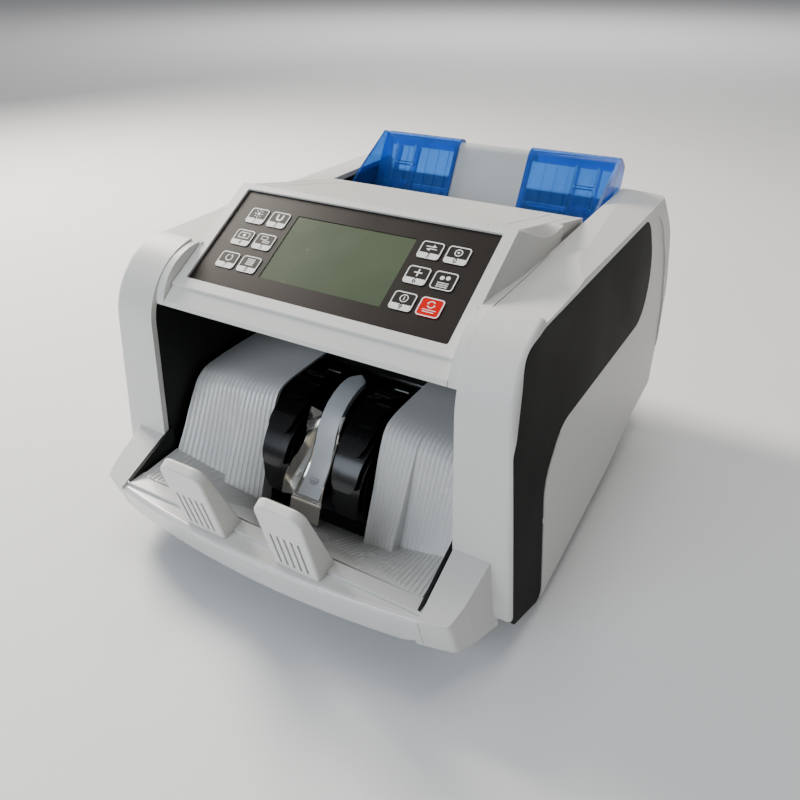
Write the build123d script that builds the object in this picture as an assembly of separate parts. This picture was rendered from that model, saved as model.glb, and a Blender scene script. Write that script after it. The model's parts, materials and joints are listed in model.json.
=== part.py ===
from build123d import *
from math import cos, radians, sin
import os

# Banknote counting machine: front stacker, rear hopper, console between two side covers.
# Millimetres, +X to the operator's right, -Y to the front, +Z up.  The origin is the centre
# of the footprint, on the surface that the machine stands on.  Side views are drawn as (y, z)
# points and extruded along X.

os.makedirs("parts", exist_ok=True)

# ---- driving dimensions -------------------------------------------------------------
FOOT_H = 8.0                 # rubber feet
WALL = 3.6                   # side cover wall
GAP = 0.3                    # clearance between neighbouring mouldings

COVER_X = 133.0              # outer face of a side cover at COVER_Z
COVER_Z = 62.0
COVER_LEAN = 0.08            # the outer face leans in by this much per mm of height
INNER_X = 100.4              # inner edge of a side cover at INNER_Z
INNER_Z = 65.6
INNER_LEAN = 0.0443
COVER_TOP_FALL = 9.5         # degrees by which the top of a side cover falls outwards

LIP_Y = -120.4               # bottom edge of the console front
LIP_Z = 153.7

PANEL_Y = -78.0              # centre of the keypad overlay
PANEL_Z = 181.7
PANEL_TILT = 31.6
OVERLAY_W = 166.0
OVERLAY_H = 68.8
OVERLAY_V = 0.85             # overlay centre, up the slope from the panel centre
OVERLAY_T = 0.8
RIM_RISE = 1.2
LCD_W = 78.0
LCD_H = 45.5

KEY_W = 13.0
KEY_H = 11.3
KEY_PITCH_X = 15.5
KEY_PITCH_V = 16.7
KEY_OUTER_U = 65.2
KEY_V = 0.9                  # middle row of keys
KEY_TRAVEL = 0.6
KEY_TOP = 0.4
KEY_BOTTOM = -4.4

LID_Y0 = -40.4               # hinged top lid, from the panel ridge to the hopper
LID_Y1 = 53.0
LID_Z1 = 183.4
LID_SLOPE = 0.197
LID_T = 2.4
LID_X = 87.6
LID_PIN_Y = -38.4
LID_PIN_Z = 199.8
LID_PIN_R = 1.0

CHEEK_X0 = LID_X + 0.6       # inner face of the cheek beside the lid

STRIP_X = 100.8              # seam between the front strip and a corner block
TRAY_Y = -158.0
TRAY_Z = 48.0
STOP_X = 31.5
STOP_W = 29.0

PLATE_X0 = 38.0              # inner edge of a stacker plate
PLATE_X1 = 96.4

IMPELLER_Y = -75.0
IMPELLER_Z = 58.0
IMPELLER_R = 43.5
IMPELLER_X0 = 14.5
IMPELLER_X1 = 35.5
IMPELLER_BLADES = 12

TRANSPORT = (2.0, 88.0)      # shaft centres, (y, z)
PINCH = (2.0, 111.4)
FEED = (42.0, 104.0)
PICKUP = (72.0, 109.0)
MOTOR = (104.0, 58.0)
IMPELLER = (IMPELLER_Y, IMPELLER_Z)
SHAFT_R = 4.0
RUN_FIT = 0.05
TIE_RODS = [(-24.0, 62.0), (30.0, 46.0), (140.0, 120.0)]
TIE_ROD_R = 3.5
MOTOR_CAN_R = 24.0
FRAME_X = 104.6              # inner face of a steel side frame
FRAME_T = 2.0
BUSH_R = 7.0

BACK_Y = 94.0                # a point on the front of the hopper back plate
BACK_Z = 140.0
BACK_LEAN = 27.3
BACK_X = 31.0
BACK_TOP = 66.0              # slope length from BACK_Y, BACK_Z to the top edge
ROLL_R = 6.0                 # rolled top edge of the centre plate
GUIDE_X0 = 27.8              # inner edge of a note guide, set for the widest note
GUIDE_FIN_X = 91.7
GUIDE_GAP = 0.4              # gap between a note guide and the centre plate
GUIDE_T = 1.8
GUIDE_RIB_X = (64.0, 80.0)
RAIL_R = 2.5

REAR_FACE_Y = 167.4          # centre of the flat band across the rear cover
REAR_FACE_Z = 85.8
REAR_FACE_TILT = 21.04

SIDES = {"left": -1, "right": 1}


# ---- helpers ------------------------------------------------------------------------
def block(x0, x1, y0, y1, z0, z1):
    """Box between two corners."""
    return Pos((x0 + x1) / 2, (y0 + y1) / 2, (z0 + z1) / 2) * Box(x1 - x0, y1 - y0, z1 - z0)


def side_face(points, radii=None):
    """Closed outline in the plane x = 0 from (y, z) points, corners rounded by radii."""
    corners = [(0, y, z) for y, z in points]
    if radii is None:
        outline = Polyline(*corners, close=True)
    else:
        outline = FilletPolyline(*corners, radius=radii, close=True)
    return make_face(outline)


def along_x(face, x0, x1):
    """Extrude a face of the plane x = 0 between two x positions."""
    return Pos(x0, 0, 0) * extrude(face, amount=x1 - x0, dir=(1, 0, 0))


def rod(centre, radius, x0, x1):
    """Cylinder along X about a (y, z) centre."""
    y, z = centre
    return Pos((x0 + x1) / 2, y, z) * Rot(0, 90, 0) * Cylinder(radius, x1 - x0)


def ring(centre, outer, inner, x0, x1):
    """Hollow cylinder along X."""
    return rod(centre, outer, x0, x1) - rod(centre, inner, x0 - 1, x1 + 1)


def below(part, x_at, z_at, lean, shift=0.0):
    """Keep the side of a leaning plane that faces the middle of the machine."""
    plane = Plane(origin=(x_at + shift, 0, z_at), z_dir=(1, 0, lean))
    return split(part, bisect_by=plane, keep=Keep.BOTTOM)


def beyond(part, x_at, z_at, lean, shift=0.0):
    """Keep the side of a leaning plane that faces away from the middle."""
    plane = Plane(origin=(x_at + shift, 0, z_at), z_dir=(1, 0, lean))
    return split(part, bisect_by=plane, keep=Keep.TOP)


def handed(part, side):
    """Mirror a right-hand part when the left one is wanted."""
    return part if side > 0 else mirror(part, about=Plane.YZ)


def both(part):
    """A right-hand part and its mirror image."""
    return part + mirror(part, about=Plane.YZ)


def pair(make):
    """Left and right pieces as separate solids of one node."""
    return Compound(children=[make(side) for side in SIDES.values()])


def save(name, part):
    """Write one node."""
    part.label = name
    export_step(part, f"parts/{name}.step")


def panel_plane(height=0.0):
    """Plane of the keypad overlay's top face, x to the right and y up the slope."""
    tilt = radians(PANEL_TILT)
    normal = Vector(0, -sin(tilt), cos(tilt))
    return Plane(origin=Vector(0, PANEL_Y, PANEL_Z) + normal * height, x_dir=(1, 0, 0), z_dir=normal)


def panel_plate(width, height, v, low, high, corner=1.5, u=0.0):
    """Rounded plate on the panel plane, between two heights along its normal."""
    outline = Pos(u, v, 0) * RectangleRounded(width, height, corner)
    return extrude(panel_plane(low) * outline, amount=high - low)


def rear_plane(depth=0.0):
    """Plane of the flat band on the rear cover, facing out."""
    tilt = radians(REAR_FACE_TILT)
    normal = Vector(0, cos(tilt), -sin(tilt))
    return Plane(origin=Vector(0, REAR_FACE_Y, REAR_FACE_Z) + normal * depth, x_dir=(-1, 0, 0), z_dir=normal)


def rear_block(x, v, width, height, low, high):
    """Box on the rear band: x along the machine, v up the band, between two depths."""
    outline = Pos(-x, v, 0) * Rectangle(width, height)
    return extrude(rear_plane(low) * outline, amount=high - low)


def back_plane(depth=0.0):
    """Plane of the hopper back plate's front face, y up the slope, z out of the front."""
    lean = radians(BACK_LEAN)
    normal = Vector(0, -cos(lean), sin(lean))
    return Plane(origin=Vector(0, BACK_Y, BACK_Z) + normal * depth, x_dir=(1, 0, 0), z_dir=normal)


# ---- side covers --------------------------------------------------------------------
def cover_outline(inset=0.0):
    """Side view of the machine's outer shell."""
    corners = [(-130.5, 29), (-124.6, 179.8), (137, 183.8), (171.5, 150), (177.2, 105), (163, 66), (146, 32),
               (100, 29), (40, 17.5), (-84, 8.5)]
    radii = [7, 44, 20, 40, 30, 40, 8, 60, 100, 7]
    face = side_face(corners, radii)
    if inset:
        face = offset(face, amount=-inset)
    return face


def insert_outline(shrink=0.0):
    """Side view of the dark insert: a front leg that turns into a band to the rear."""
    corners = [(-128.0, 26), (-125.5, 128), (-113, 172), (-90, 176.5), (103, 175.5), (122, 135), (100, 104),
               (-62, 109), (-86, 88), (-87.5, 10.5)]
    radii = [6, 22, 22, 30, 22, 36, 30, 30, 26, 6]
    face = side_face(corners, radii)
    if shrink:
        face = offset(face, amount=-shrink)
    return face


def flank_outline():
    """Side view of the shallow recess behind the dark insert, open towards the bottom edge."""
    corners = [(60, 150), (96, 174.2), (136, 171), (160, 128), (165, 92), (156, 50), (140, 0), (-86.5, 0),
               (-86.5, 70), (-60, 112)]
    radii = [10, 6, 44, 40, 50, 60, 5, 5, 20, 20]
    return side_face(corners, radii)


def hollow_top(drop=0.0):
    """Space above the dished front part of a side cover's top."""
    stations = [(-88, 178.0, 178.0), (-42, 178.6, 178.9), (-12, 179.8, 182.4), (9, 184.6, 190.0)]
    sections = []
    for y, z_inner, z_outer in stations:
        corners = [(80, y, z_inner), (130, y, z_outer), (130, y, 215), (80, y, 215)]
        sections.append(make_face(Polyline(*corners, close=True)))
    return Pos(0, 0, -drop) * loft(sections, ruled=True)


def corner_block():
    """Solid foot at the front corner, beside the front strip."""
    def plan(z, front, corner_x, corner_y, flank_x, flank_y, root_x):
        points = [(STRIP_X + GAP, -127.4), (STRIP_X + GAP, front), (corner_x, corner_y), (flank_x, flank_y),
                  (root_x, -127.4)]
        corners = [(x, y, z) for x, y in points]
        face = make_face(Polyline(*corners, close=True))
        rounded = [v for v in face.vertices() if v.X > 110 and v.Y < -130]
        return fillet(rounded, 4.5)

    body = loft([plan(23, -158.3, 117.2, -154.5, 123, -142, 127.5),
                 plan(68, -172.8, 115.5, -169.5, 117, -157, 121)], ruled=True)
    slope = side_face([(-127.4, 20), (-176, 20), (-176, 42), (-165, 48.2), (-159, 50.8), (-127.4, 65)])
    return body & along_x(slope, 90, 140)


def side_cover(side):
    outer = below(along_x(cover_outline(), 88, 145), COVER_X, COVER_Z, COVER_LEAN)
    outer = fillet(outer.faces().sort_by(Axis.X)[-1].edges(), 3.5)
    cavity = below(along_x(cover_outline(WALL), 80, 145), COVER_X, COVER_Z, COVER_LEAN, -WALL)
    shell = beyond(outer - cavity, INNER_X, INNER_Z, INNER_LEAN)
    shell += beyond(outer & hollow_top(WALL), INNER_X, INNER_Z, INNER_LEAN)
    flank = along_x(flank_outline(), 100, 150)
    shell -= beyond(flank, COVER_X, COVER_Z, COVER_LEAN, -1.1)
    recess = along_x(insert_outline(), 100, 150)
    shell -= beyond(recess, COVER_X, COVER_Z, COVER_LEAN, -2.0)
    backing = below(along_x(insert_outline(-2), 100, 145), COVER_X, COVER_Z, COVER_LEAN, -2.0)
    backing = beyond(backing, COVER_X, COVER_Z, COVER_LEAN, -WALL - 0.2) & along_x(cover_outline(1), 90, 145)
    shell += backing
    crown = side_face([(-140, 184.2), (140, 184.2), (140, 230), (-140, 230)])
    top_cut = along_x(crown, INNER_X - 4, INNER_X + 56)
    shell -= top_cut.rotate(Axis((INNER_X - 4, 0, 184.2), (0, 1, 0)), COVER_TOP_FALL)
    shell -= hollow_top()
    shell += corner_block()
    return handed(shell, side)


def side_insert(side):
    plate = along_x(insert_outline(0.35), 100, 145)
    plate = below(plate, COVER_X, COVER_Z, COVER_LEAN, -0.5)
    plate = beyond(plate, COVER_X, COVER_Z, COVER_LEAN, -1.95)
    return handed(plate, side)


def inner_wall(side):
    """Dark liner of the stacker and the hopper, inside a side cover and its corner block."""
    face = cover_outline(WALL + GAP)
    wall = below(along_x(face, 80, 125), INNER_X, INNER_Z, INNER_LEAN, 2.1)
    wall = beyond(wall, INNER_X, INNER_Z, INNER_LEAN, 0.1)
    wall -= block(60, 140, -140, 200, 0, 27)
    wall -= hollow_top(WALL + 0.4)
    for centre in (TRANSPORT, PINCH, FEED, PICKUP, IMPELLER):
        wall -= rod(centre, SHAFT_R + 1.5, 80, 125)
    for centre in TIE_RODS:
        wall -= rod(centre, TIE_ROD_R + 0.5, 80, 125)
    wall -= rod(rail_centre(), RAIL_R + 0.5, 80, 125)
    wall -= rod(MOTOR, MOTOR_CAN_R + 1, 80, 125)
    facing = side_face([(-123.5, 36), (-123.5, 66.8), (-159, 50.9), (-161.5, 49.8), (-149.6, 49.8), (-149.6, 36)])
    return handed(wall + along_x(facing, 98.6, 100.25), side)


# ---- console ------------------------------------------------------------------------
def lid_height(y):
    """Top of the rear lid at a given y."""
    return LID_Z1 + (LID_Y1 - y) * LID_SLOPE


def panel_point(v, height=0.0):
    """(y, z) of a point on the panel plane, v up the slope."""
    tilt = radians(PANEL_TILT)
    return (PANEL_Y + v * cos(tilt) - height * sin(tilt), PANEL_Z + v * sin(tilt) + height * cos(tilt))


def console_centre(inset=0.0):
    """Side view of the console behind the panel."""
    lid_drop = LID_T + 0.3
    face = side_face([
        (LIP_Y, LIP_Z - 3), (LIP_Y, LIP_Z), panel_point(-40.5, 0), panel_point(-40.0, RIM_RISE),
        panel_point(39.5, RIM_RISE), (LID_Y0 - 1.3, lid_height(LID_Y0)), (LID_Y0 - 1.3, lid_height(LID_Y0) - 6),
        (-28, lid_height(-28) - 6), (-26, lid_height(-26) - lid_drop), (LID_Y1, LID_Z1 - lid_drop),
        (LID_Y1, LID_Z1 - 9), (20, LIP_Z - 3)])
    if inset:
        face = offset(face, amount=-inset)
    return face


def console_flank():
    """Side view of the console beside the panel, level with the side covers' shoulders."""
    front = Spline((0, LIP_Y, LIP_Z), (0, -117, 162), (0, -106, 173), (0, -85, 178.4))
    shoulder = [(0, -42, 178.8), (0, -12, 180.6), (0, 7, 185.2), (0, 8, lid_height(8)), (0, LID_Y1, LID_Z1)]
    rear = Polyline(front @ 1, *shoulder, (0, LID_Y1, LID_Z1 - 9), (0, 20, LIP_Z - 3),
                    (0, LIP_Y, LIP_Z - 3), (0, LIP_Y, LIP_Z))
    return make_face([front, *rear.edges()])


def cheek_sag():
    """Space above the dip in the cheek's rim, beside the lid."""
    sections = []
    for y, dip in [(-46, 0.2), (-34, 7.5), (-19, 10.5), (-4, 7.5), (8, 0.2)]:
        top = lid_height(y)
        corners = [(88.2, y, top), (100, y, top - dip), (100, y, top + 8), (88.2, y, top + 8)]
        sections.append(make_face(Polyline(*corners, close=True)))
    return loft(sections)


def cheek():
    """Steep cheek beside the panel, from the shoulder up to a rim that dips beside the lid."""
    rim = [(86, -46), (89.5, -38), (92.5, -25), (94.5, -10), (95.8, 8)]
    foot = [(88.6, -88), (91.6, -62), (93.6, -38), (94.6, -14), (94.9, 8)]
    faces = []
    for line, height in ((rim, lid_height), (foot, lambda y: 181 + (y - 8) * 0.05)):
        curve = Spline(*[(x, y, height(y)) for x, y in line])
        start, end = line[0][1], line[-1][1]
        back = Polyline(curve @ 1, (84, end, height(end)), (84, start, height(start)), curve @ 0)
        faces.append(make_face([curve, *back.edges()]))
    body = loft(faces, ruled=True) & block(CHEEK_X0, 100, -140, 8, 140, 215)
    return body - cheek_sag()


def head_housing():
    centre = along_x(console_centre(), -90, 90)
    flank = along_x(console_flank(), CHEEK_X0, 100) - block(80, 90.4, -140, -88, 140, 210)
    flank = below(flank, INNER_X, INNER_Z, INNER_LEAN, -GAP)
    flank -= block(93.0, 100, 8, 60, 140, 210)
    body = centre + both(flank) + both(cheek())
    hollow = along_x(console_centre(3.0), -87, 87) & block(-87, 87, -140, 60, 140, 210)
    body -= hollow
    body -= block(-87, 87, LIP_Y + 4, LID_Y1 - 4, 140, LIP_Z)
    body -= block(-76, 76, -24, 44, 150, 210)
    body -= panel_plate(OVERLAY_W + 0.6, OVERLAY_H + 0.6, OVERLAY_V, -OVERLAY_T - 0.1, 5, 1.2)
    body -= panel_plate(LCD_W + 2, LCD_H + 2, OVERLAY_V - 0.2, -8, 1)
    for u, v in key_places().values():
        body -= panel_plate(KEY_W + 0.5, KEY_H + 0.5, v, -8, 1, 2.0, u)
    for x in (-74, 74):
        for ear in (x - 2.6, x + 2.6):
            body += block(ear - 0.8, ear + 0.8, LID_PIN_Y - 1.4, LID_PIN_Y + 2, LID_PIN_Z - 6.5, LID_PIN_Z + 1.4)
        body -= rod((LID_PIN_Y, LID_PIN_Z), LID_PIN_R, x - 5, x + 5)
        body -= block(x - 1.7, x + 1.7, LID_PIN_Y - 2.4, LID_PIN_Y + 9, LID_PIN_Z - 3.2, LID_PIN_Z + 4)
    return body


def head_top_lid():
    """Hinged cover over the feed path; it lifts at the hopper edge."""
    face = side_face([
        (LID_Y0, lid_height(LID_Y0)), (LID_Y1, LID_Z1), (LID_Y1, LID_Z1 - LID_T), (LID_Y0, lid_height(LID_Y0) - LID_T)])
    lid = along_x(face, -LID_X, LID_X)
    rear_corners = lid.edges().filter_by(Axis.Z).group_by(Axis.Y)[-1]
    lid = fillet(rear_corners, 1.5) if rear_corners else lid
    groove_face = side_face([(-26, lid_height(-26) - 0.5), (44, lid_height(44) - 0.5), (44, 215), (-26, 215)])
    groove = along_x(groove_face, -76, 76) - along_x(groove_face, -75, 75)
    lid -= groove
    for x in (-74, 74):
        lug = block(x - 1.4, x + 1.4, LID_PIN_Y - 1.6, LID_PIN_Y + 5, LID_PIN_Z - 2.0, lid_height(LID_PIN_Y) - 1)
        lid += lug
        for ear in (x - 2.6, x + 2.6):
            lid -= block(ear - 1.1, ear + 1.1, LID_PIN_Y - 4, LID_PIN_Y + 2.6, LID_PIN_Z - 4, LID_PIN_Z + 6)
        lid -= rod((LID_PIN_Y, LID_PIN_Z), LID_PIN_R + RUN_FIT, x - 3.8, x + 3.8)
    return lid


def lid_hinge_pins():
    pins = [rod((LID_PIN_Y, LID_PIN_Z), LID_PIN_R, x - 3.4, x + 3.4) for x in (-74, 74)]
    return Compound(children=pins)


def key_places():
    """Key names and their centres on the panel plane."""
    outer = KEY_OUTER_U
    inner = KEY_OUTER_U - KEY_PITCH_X
    rows = [KEY_V + KEY_PITCH_V, KEY_V, KEY_V - KEY_PITCH_V]
    columns = {
        "key_1": (-outer, 0), "key_2": (-inner, 0), "key_4": (-outer, 1), "key_5": (-inner, 1),
        "key_7": (-outer, 2), "key_8": (-inner, 2), "key_3": (inner, 0), "key_0": (outer, 0),
        "key_6": (inner, 1), "key_batch": (outer, 1), "key_9": (inner, 2), "key_start": (outer, 2)}
    return {name: (u, rows[row]) for name, (u, row) in columns.items()}


def keypad_overlay():
    film = panel_plate(OVERLAY_W, OVERLAY_H, OVERLAY_V, -OVERLAY_T, 0, 1.0)
    film -= panel_plate(LCD_W, LCD_H, OVERLAY_V - 0.2, -3, 3, 0.6)
    for u, v in key_places().values():
        film -= panel_plate(KEY_W + 0.3, KEY_H + 0.3, v, -3, 3, 2.15, u)
    return film


def key_pad(u, v):
    return panel_plate(KEY_W, KEY_H, v, KEY_BOTTOM, KEY_TOP, 2.0, u)


def display_module():
    """Liquid crystal display, its glass just under the film."""
    glass = panel_plate(LCD_W - 0.4, LCD_H - 0.4, OVERLAY_V - 0.2, -2.2, -0.3, 0.6)
    return glass + panel_plate(LCD_W + 1.4, LCD_H + 1.4, OVERLAY_V - 0.2, -8.6, -2.2, 0.6)


def display_board():
    board = panel_plate(158, 60, 0, -6.9, -5.3, 2)
    board -= panel_plate(LCD_W + 2.4, LCD_H + 2.4, OVERLAY_V - 0.2, -9, -3, 0.6)
    return board


def note_guides():
    """Dark sheets above and below the note path, from the hopper floor to the stacker."""
    ceiling = side_face([(LIP_Y + 4.4, 147.6), (-37, 147.6), (-16.5, 104.6), (-14.2, 105.6), (-35.4, 150.2),
                         (LIP_Y + 4.4, 150.2)])
    ramp = side_face([(56.4, 119.8), (50, 118.0), (15, 104.6), (15, 102.4), (50, 115.7), (56.4, 117.6)])
    ledge = side_face([(-11.5, 99), (-31.6, 99), (-31.6, 88), (-29.6, 88), (-29.6, 97), (-11.5, 97)])
    lower = along_x(ramp, -94.6, 94.6)
    for x in (-32, 0, 32):
        lower -= block(x - 8.2, x + 8.2, 22, 58, 90, 130)
    return Compound(children=[along_x(ceiling, -94.6, 94.6), lower, along_x(ledge, -94.6, 94.6)])


# ---- stacker ------------------------------------------------------------------------
def strip_plan(z, end_y, middle_y):
    """Plan of the front strip, whose front edge bows forwards."""
    front = ThreePointArc((-STRIP_X, end_y, z), (0, middle_y, z), (STRIP_X, end_y, z))
    rest = Polyline((STRIP_X, end_y, z), (STRIP_X, -150, z), (-STRIP_X, -150, z), (-STRIP_X, end_y, z))
    return make_face([front, *rest.edges()])


def plate_section(x, fold, belly, bend, top):
    """Section of a stacker plate: four bends from the fold to the rear, 2.4 mm thick."""
    rear = -32
    upper = [fold, belly, bend, top, (rear, 99)]
    lower = [(rear, 96.6), (top[0] + 1.5, top[1] - 2.4), (bend[0] + 2.6, bend[1] - 1.6),
             (belly[0] + 2.7, belly[1] - 0.8), (fold[0] + 3.0, fold[1] - 0.4)]
    return make_face(Polyline(*[(x, y, z) for y, z in upper + lower], close=True))


def stacker_plate(side):
    """Back plate that the counted notes lean against, with a raised pad beside the impeller."""
    inner = plate_section(PLATE_X0, (-107.5, 24), (-98, 58), (-92.5, 93), (-85, 98.6))
    outer = plate_section(PLATE_X1, (-123.5, 52), (-113, 74), (-101.5, 95), (-91, 99))
    plate = loft([inner, outer], ruled=True)
    pad = loft([
        make_face(Polyline((PLATE_X0, -107.5, 26), (PLATE_X0, -114.5, 32), (PLATE_X0, -93.5, 88),
                           (PLATE_X0, -90, 88), (PLATE_X0, -96, 58), close=True)),
        make_face(Polyline((62, -113.4, 37), (62, -121, 42), (62, -97.4, 89), (62, -94, 89),
                           (62, -103, 62), close=True))], ruled=True)
    return handed(plate + pad, side)


def floor_section(x, fold):
    """Section of the stacker floor, from the front strip to the fold."""
    points = [(TRAY_Y + 4, TRAY_Z + 1.4), fold, (fold[0] + 0.5, fold[1] - 2.6), (TRAY_Y + 4, TRAY_Z - 2.2)]
    return make_face(Polyline(*[(x, y, z) for y, z in points], close=True))


def front_strip():
    """Solid outline of the bar along the front edge, with a step behind it."""
    strip = loft([strip_plan(23, -158.3, -167), strip_plan(47.4, -166.4, -174.6)], ruled=True)
    top_edges = [e for e in strip.edges() if abs(e.center().Z - 47.4) < 0.2 and e.center().Y < -165]
    strip = fillet(top_edges, 2.5)
    return strip + block(-STRIP_X, STRIP_X, -162, -150, 44, 49.4)


def stacker_tray():
    """Front strip and ribbed floor in one moulding; the floor falls towards the middle."""
    strip = front_strip() - block(-97, 97, -160, -140, 10, 44)
    strip -= block(-97, 97, -153, -140, 10, 60)
    outer_fold = (-124.2, 51.2)
    inner_fold = (-108.3, 23.2)
    floor = loft([floor_section(-PLATE_X1, outer_fold), floor_section(-PLATE_X0, inner_fold),
                  floor_section(PLATE_X0, inner_fold), floor_section(PLATE_X1, outer_fold)], ruled=True)
    return strip + floor


def stop_post(side):
    """Tombstone-shaped stop that leans out over the front edge and thins towards its top, with five slots."""
    body = side_face([(-168.6, 46), (-180.9, 95), (-175.8, 98.2), (-165.4, 74.6), (-154.4, 49.5), (-154.4, 46)])
    post = along_x(body, STOP_X - STOP_W / 2, STOP_X + STOP_W / 2)
    corners = [e for e in post.edges() if e.center().Z > 94 and abs(abs(e.center().X - STOP_X) - STOP_W / 2) < 0.1]
    post = fillet(corners, 7)
    front = post.faces().sort_by(Axis.Y)[0]
    rim = [e for e in front.edges() if e.center().Z > 60]
    post = fillet(rim, 1.6)
    for step in range(5):
        x = STOP_X - 8.6 + 4.3 * step
        slot = side_face([(-188, 51), (-188, 75), (-172.6, 75), (-166.4, 51)])
        post -= along_x(slot, x - 0.8, x + 0.8)
    return handed(post - front_strip(), side)


def centre_bracket():
    """Polished steel channel between the impellers, with flared sides and a front tongue."""
    web = side_face([(-122, 32), (-118, 47), (-100, 60), (-98.6, 58.2), (-115.5, 45), (-119.4, 32)])
    body = along_x(web, -10, 10)
    cheek = side_face([(-124, 35.5), (-121, 58), (-106, 68), (-96, 88), (-88, 96), (-82, 92), (-86, 78),
                       (-96, 57.5), (-114, 44), (-119, 33)])
    return body + both(along_x(cheek, 10, 11.2))


def centre_finger():
    """Grey plastic finger that leads the notes off the impellers."""
    curve = Spline((0, -99, 61.2), (0, -91.5, 79), (0, -80, 93), (0, -56, 100))
    under = Spline((0, -56, 96), (0, -76, 90), (0, -87.5, 77.5), (0, -95.5, 59.4))
    face = make_face([curve, Line(curve @ 1, under @ 0), under, Line(under @ 1, curve @ 0)])
    return along_x(face, -10, 10)


def bracket_screw():
    """Pan-head screw through the bracket's web."""
    plane = Plane(origin=(0, -109.05, 53.57), x_dir=(1, 0, 0), z_dir=(0, -0.585, 0.811))
    head = extrude(plane * Circle(3.2), amount=1.8)
    slot = extrude(Plane(origin=plane.origin + plane.z_dir * 1.0, x_dir=(1, 0, 0), z_dir=plane.z_dir)
                   * Rectangle(5, 0.8), amount=2)
    return head - slot


def impeller(side):
    """Hub with long curved blades that carry each note down onto the stack."""
    hub = ring((0, 0), 11, SHAFT_R, IMPELLER_X0, IMPELLER_X1)
    inner = 10.0
    lead = ThreePointArc((0, 0, inner), (0, 19, 27), (0, 14, IMPELLER_R - 2.8))
    trail = ThreePointArc((0, 16.4, IMPELLER_R - 3.6), (0, 21.2, 27), (0, 2.6, inner - 0.6))
    outline = make_face([lead, Line(lead @ 1, trail @ 0), trail, Line(trail @ 1, lead @ 0)])
    blade = along_x(outline, IMPELLER_X0, IMPELLER_X1)
    wheel = hub
    for step in range(IMPELLER_BLADES):
        wheel += blade.rotate(Axis.X, 360 / IMPELLER_BLADES * step)
    wheel = Pos(0, IMPELLER_Y, IMPELLER_Z) * wheel
    return handed(wheel, side)


# ---- hopper -------------------------------------------------------------------------
def rail_centre():
    """(y, z) of the steel rail that carries the two note guides."""
    point = (back_plane(-9.0) * Pos(0, 34, 0)).position
    return (point.Y, point.Z)


def back_plate_outline(width, low, high, near, far):
    """Flat sheet on the hopper back plane."""
    outline = Pos(0, (low + high) / 2, 0) * Rectangle(width, high - low)
    return extrude(back_plane(near) * outline, amount=far - near)


def hopper_back_plate():
    """Fixed middle of the hopper back, rolled over at its top edge."""
    plate = back_plate_outline(2 * BACK_X, -4, BACK_TOP, -2.2, 0)
    boss = rod(rail_centre(), 5.0, -9, 9)
    web = guide_bar(0, 34, 3, 10, -9, -1)
    plate = plate + guide_roll(ROLL_R, ROLL_R - 2.2, -BACK_X, BACK_X) + boss + web
    return plate - rod(rail_centre(), RAIL_R, -30, 30)


def guide_rail():
    return rod(rail_centre(), RAIL_R, -FRAME_X - 1.5, FRAME_X + 1.5)


def guide_roll(outer, inner, x0, x1):
    """Half-round top edge that rolls over to the rear of the hopper back plane."""
    middle = (x0 + x1) / 2
    axis = back_plane(-ROLL_R) * Pos(middle, BACK_TOP, 0) * Rot(0, 90, 0)
    tube = axis * Cylinder(outer, x1 - x0) - axis * Cylinder(inner, x1 - x0 + 2)
    above = extrude(back_plane(-20) * (Pos(middle, BACK_TOP + 10, 0) * Rectangle(80, 20)), amount=30)
    return tube & above


def guide_bar(u, v, width, height, low, high):
    """Rectangular rib on the hopper back plane, between two depths."""
    return extrude(back_plane(low) * (Pos(u, v, 0) * Rectangle(width, height)), amount=high - low)


def hopper_guide(side):
    """Clear blue note guide that slides in front of the centre plate on the rail behind it."""
    x0 = GUIDE_X0
    x1 = GUIDE_FIN_X
    middle = (x0 + x1) / 2
    front = GUIDE_GAP + GUIDE_T
    guide = guide_bar(middle, BACK_TOP / 2 + 1, x1 - x0, BACK_TOP - 2, GUIDE_GAP, front)
    guide += guide_roll(ROLL_R + front, ROLL_R + GUIDE_GAP, x0, x1)
    for rib in range(7):
        u = x0 + 6 + rib * (x1 - x0 - 12) / 6
        guide += guide_bar(u, BACK_TOP / 2, 0.9, BACK_TOP - 6, front - 0.2, front + 0.5)
    for u in GUIDE_RIB_X:
        guide += guide_bar(u, 38, 1.8, 52, -8, GUIDE_GAP + 0.2)
    guide += guide_bar(sum(GUIDE_RIB_X) / 2, 50, GUIDE_RIB_X[1] - GUIDE_RIB_X[0], 1.8, -5, GUIDE_GAP + 0.2)
    fin = side_face([(125.5, 205.5), (137.5, 197), (122, 150), (96, 136.5), (66, 136.5), (66, 169), (87, 183)],
                    [2.5, 3, 6, 2, 2, 6, 20])
    guide += along_x(fin, GUIDE_FIN_X, GUIDE_FIN_X + 2.0)
    guide += rod(rail_centre(), 5.0, GUIDE_RIB_X[0], GUIDE_RIB_X[1])
    guide -= rod(rail_centre(), RAIL_R + RUN_FIT, 50, 100)
    return handed(guide, side)


def hopper_floor():
    """Ribbed floor that slopes down to the feed rollers, open where the pick-up rollers stand proud."""
    surface = side_face([(93, 130.6), (57, 120.4), (57, 118), (93, 128.2)])
    floor = along_x(surface, -94.8, 94.8)
    for x in (-32, 32):
        floor -= block(x - 9, x + 9, 52, 88, 100, 140)
    for x in range(-88, 89, 8):
        if abs(abs(x) - 32) > 10:
            rib = side_face([(92, 131.1), (59, 121.75), (59, 120.2), (92, 129.8)])
            floor += along_x(rib, x - 0.6, x + 0.6)
    return floor


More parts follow.
